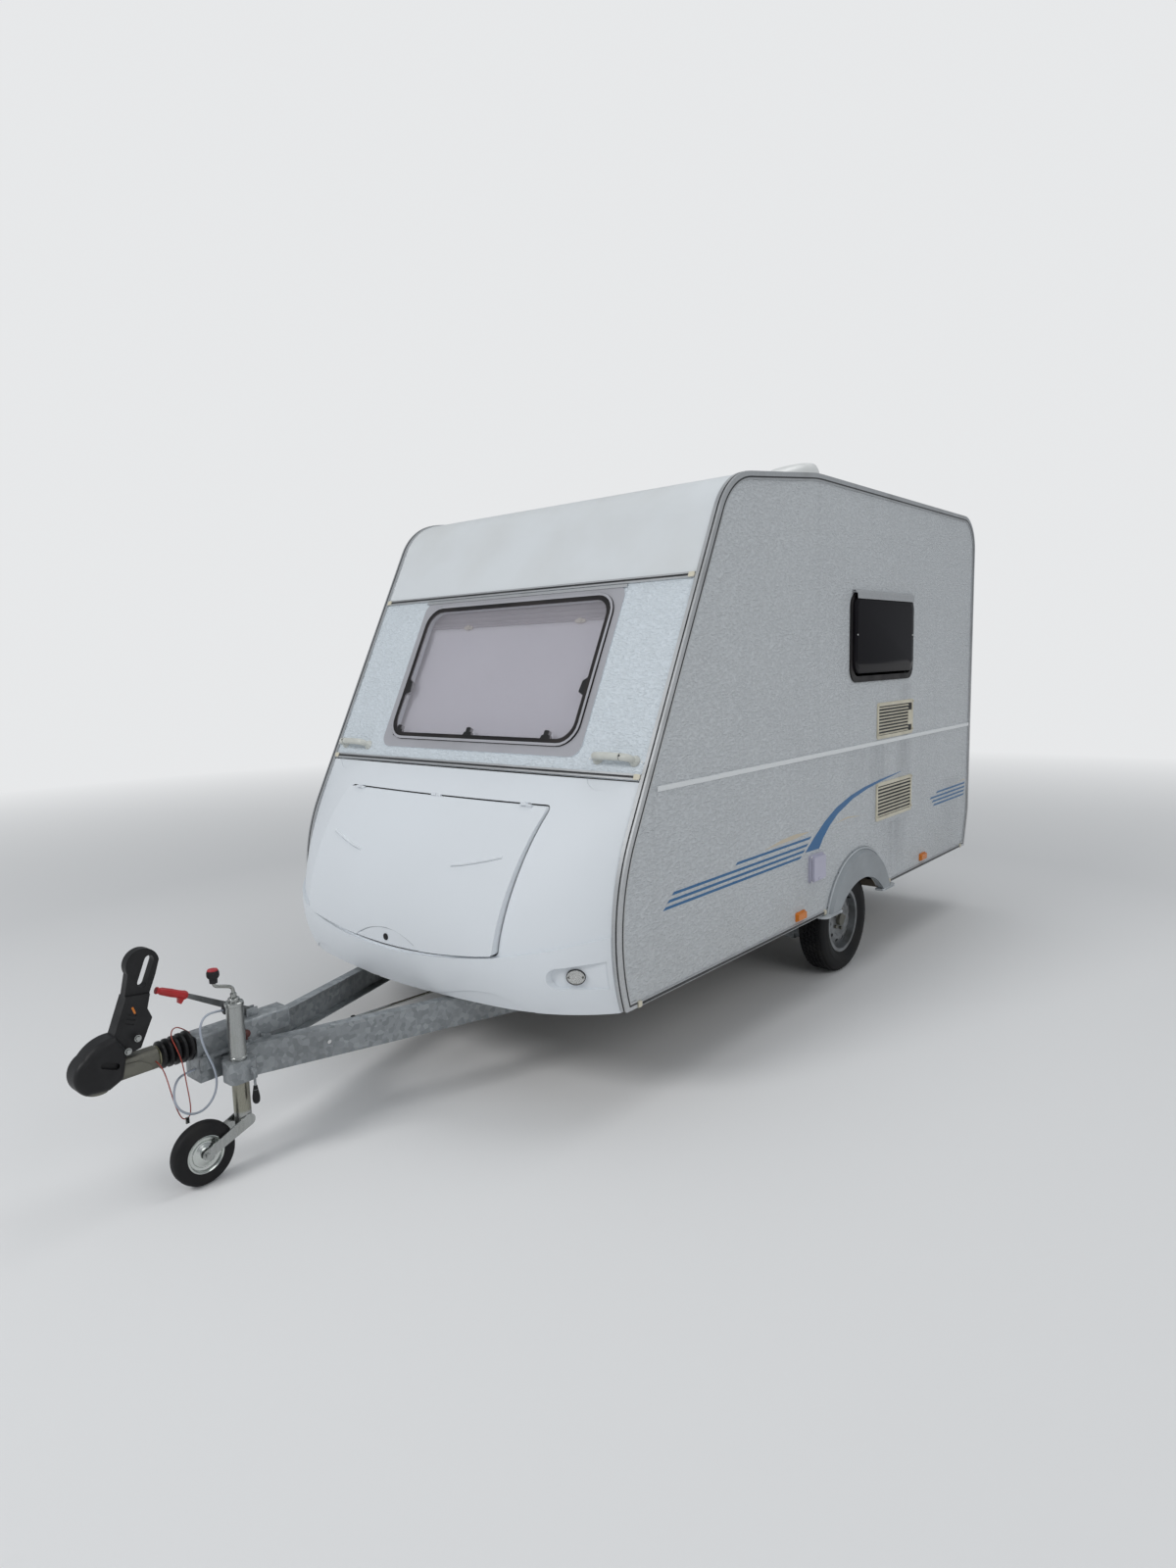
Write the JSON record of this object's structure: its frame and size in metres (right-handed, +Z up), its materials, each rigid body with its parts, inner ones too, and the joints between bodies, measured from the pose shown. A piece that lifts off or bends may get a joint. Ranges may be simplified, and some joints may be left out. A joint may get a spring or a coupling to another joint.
{
  "type": "single-axle travel caravan",
  "caption": "Single-axle touring caravan with sloping front, bowed gas locker, side door, overrun drawbar and jockey wheel.",
  "frame": {"origin": "centre of the bounding box, on the road under the wheels", "axes": "+Z up, -Y towards the hitch, +X towards the caravan's left side, which has no door"},
  "size_m": [2.122, 5.4905, 2.731],
  "materials": {
    "stucco_white": "hammered outer skin of a light sandwich panel, satin",
    "stucco_blue_white": "hammered outer skin of a light sandwich panel, satin",
    "smooth_white": "smooth outer skin of a light sandwich panel, satin",
    "gelcoat_white": "glossy gelcoat",
    "floor_ply": "plywood",
    "frame_black": "satin black",
    "tinted_glass": "tinted acrylic",
    "blind_cloth": "woven blind",
    "alu_trim": "extruded, satin",
    "grey_plastic": "moulded, satin",
    "cream_plastic": "aged, satin",
    "white_plastic": "moulded, satin",
    "black_plastic": "moulded, satin",
    "lamp_lens": "glossy lens",
    "clear_lens": "glossy lens",
    "rear_lens": "glossy lens",
    "galvanised": "hot-dip galvanised",
    "zinc_steel": "zinc plated",
    "cast_grey": "cast, dull",
    "black_rubber": "matt",
    "tyre_rubber": "matt",
    "rim_silver": "silver paint",
    "cable_grey": "smooth sheath",
    "cable_red": "coated wire"
  },
  "bodies": {
    "caravan": {"axle_beam": "galvanised", "brake_rod": "zinc_steel", "chassis_beams": "galvanised", "corner_rails": "alu_trim", "coupling_handle": "black_plastic", "coupling_head": "cast_grey", "cross_members": "galvanised", "cross_rails": "alu_trim", "door_frame": "alu_trim", "drawtube_gaiter": "black_rubber", "floor_panel": "floor_ply", "fridge_vents": "cream_plastic", "front_blind": "blind_cloth", "front_lamps": "clear_lens", "front_panel": "stucco_blue_white", "grab_handles": "white_plastic", "grey_cable": "cable_grey", "handbrake_lever": "zinc_steel", "jockey_clamp": "cast_grey", "locker_bulkhead": "floor_ply", "mains_inlet": "white_plastic", "marker_lamps": "lamp_lens", "mudguards": "grey_plastic", "nose_panel": "gelcoat_white", "overrun_housing": "galvanised", "parked_plug": "black_plastic", "rail_end_caps": "cream_plastic", "rail_inserts": "black_plastic", "rear_bumper": "gelcoat_white", "rear_lamps": "rear_lens", "rear_panel": "stucco_white", "red_cable": "cable_red", "roof_fittings": "white_plastic", "roof_panel": "smooth_white", "side_rails": "alu_trim", "side_wall_left": "stucco_white", "side_wall_right": "stucco_white", "snap_hook": "zinc_steel", "wheel_boxes": "black_plastic", "window_frames": "frame_black", "window_panes": "tinted_glass"},
    "entrance_door": {"door_panel": "stucco_white", "door_window": "tinted_glass", "door_handle": "black_plastic"},
    "locker_lid": {"locker_lid": "gelcoat_white"},
    "rooflight": {"rooflight_lid": "white_plastic"},
    "wheel_left": {"wheel_left_tyre": "tyre_rubber", "wheel_left_rim": "rim_silver", "wheel_left_hub": "cast_grey"},
    "wheel_right": {"wheel_right_tyre": "tyre_rubber", "wheel_right_rim": "rim_silver", "wheel_right_hub": "cast_grey"},
    "jockey_leg": {"jockey_leg": "zinc_steel", "jockey_crank": "zinc_steel"},
    "jockey_wheel": {"jockey_tyre": "tyre_rubber", "jockey_rim": "zinc_steel"},
    "steady_front_left": {"steady_front_left": "galvanised"},
    "steady_front_right": {"steady_front_right": "galvanised"},
    "steady_rear_left": {"steady_rear_left": "galvanised"},
    "steady_rear_right": {"steady_rear_right": "galvanised"}
  },
  "joints": [
    {"name": "door_hinge", "type": "hinge", "parent": "caravan", "child": "entrance_door", "pos_m": [-1.037, 1.44, 1.3975], "axis": [0, 0, 1], "range_deg": [0, 110]},
    {"name": "locker_lid_hinge", "type": "hinge", "parent": "caravan", "child": "locker_lid", "pos_m": [0, -1.163, 1.198], "axis": [-1, 0, 0], "range_deg": [0, 75]},
    {"name": "rooflight_hinge", "type": "hinge", "parent": "caravan", "child": "rooflight", "pos_m": [0, 1.003, 2.648], "axis": [1, 0, 0], "range_deg": [0, 60]},
    {"name": "wheel_left_spin", "type": "hinge", "parent": "caravan", "child": "wheel_left", "pos_m": [0.8775, 0.94, 0.287], "axis": [1, 0, 0], "continuous": true},
    {"name": "wheel_right_spin", "type": "hinge", "parent": "caravan", "child": "wheel_right", "pos_m": [-0.8775, 0.94, 0.287], "axis": [1, 0, 0], "continuous": true},
    {"name": "jockey_slide", "type": "slide", "parent": "caravan", "child": "jockey_leg", "axis": [0, 0, 1], "range_m": [0, 0.115]},
    {"name": "jockey_wheel_spin", "type": "hinge", "parent": "jockey_leg", "child": "jockey_wheel", "pos_m": [0.13, -2.396, 0.112], "axis": [1, 0, 0], "continuous": true},
    {"name": "steady_front_left_hinge", "type": "hinge", "parent": "caravan", "child": "steady_front_left", "pos_m": [0.8, -0.5, 0.372], "axis": [1, 0, 0], "range_deg": [0, 51]},
    {"name": "steady_front_right_hinge", "type": "hinge", "parent": "caravan", "child": "steady_front_right", "pos_m": [-0.8, -0.5, 0.372], "axis": [1, 0, 0], "range_deg": [0, 51]},
    {"name": "steady_rear_left_hinge", "type": "hinge", "parent": "caravan", "child": "steady_rear_left", "pos_m": [0.8, 2.09, 0.372], "axis": [-1, 0, 0], "range_deg": [0, 51]},
    {"name": "steady_rear_right_hinge", "type": "hinge", "parent": "caravan", "child": "steady_rear_right", "pos_m": [-0.8, 2.09, 0.372], "axis": [-1, 0, 0], "range_deg": [0, 51]}
  ]
}
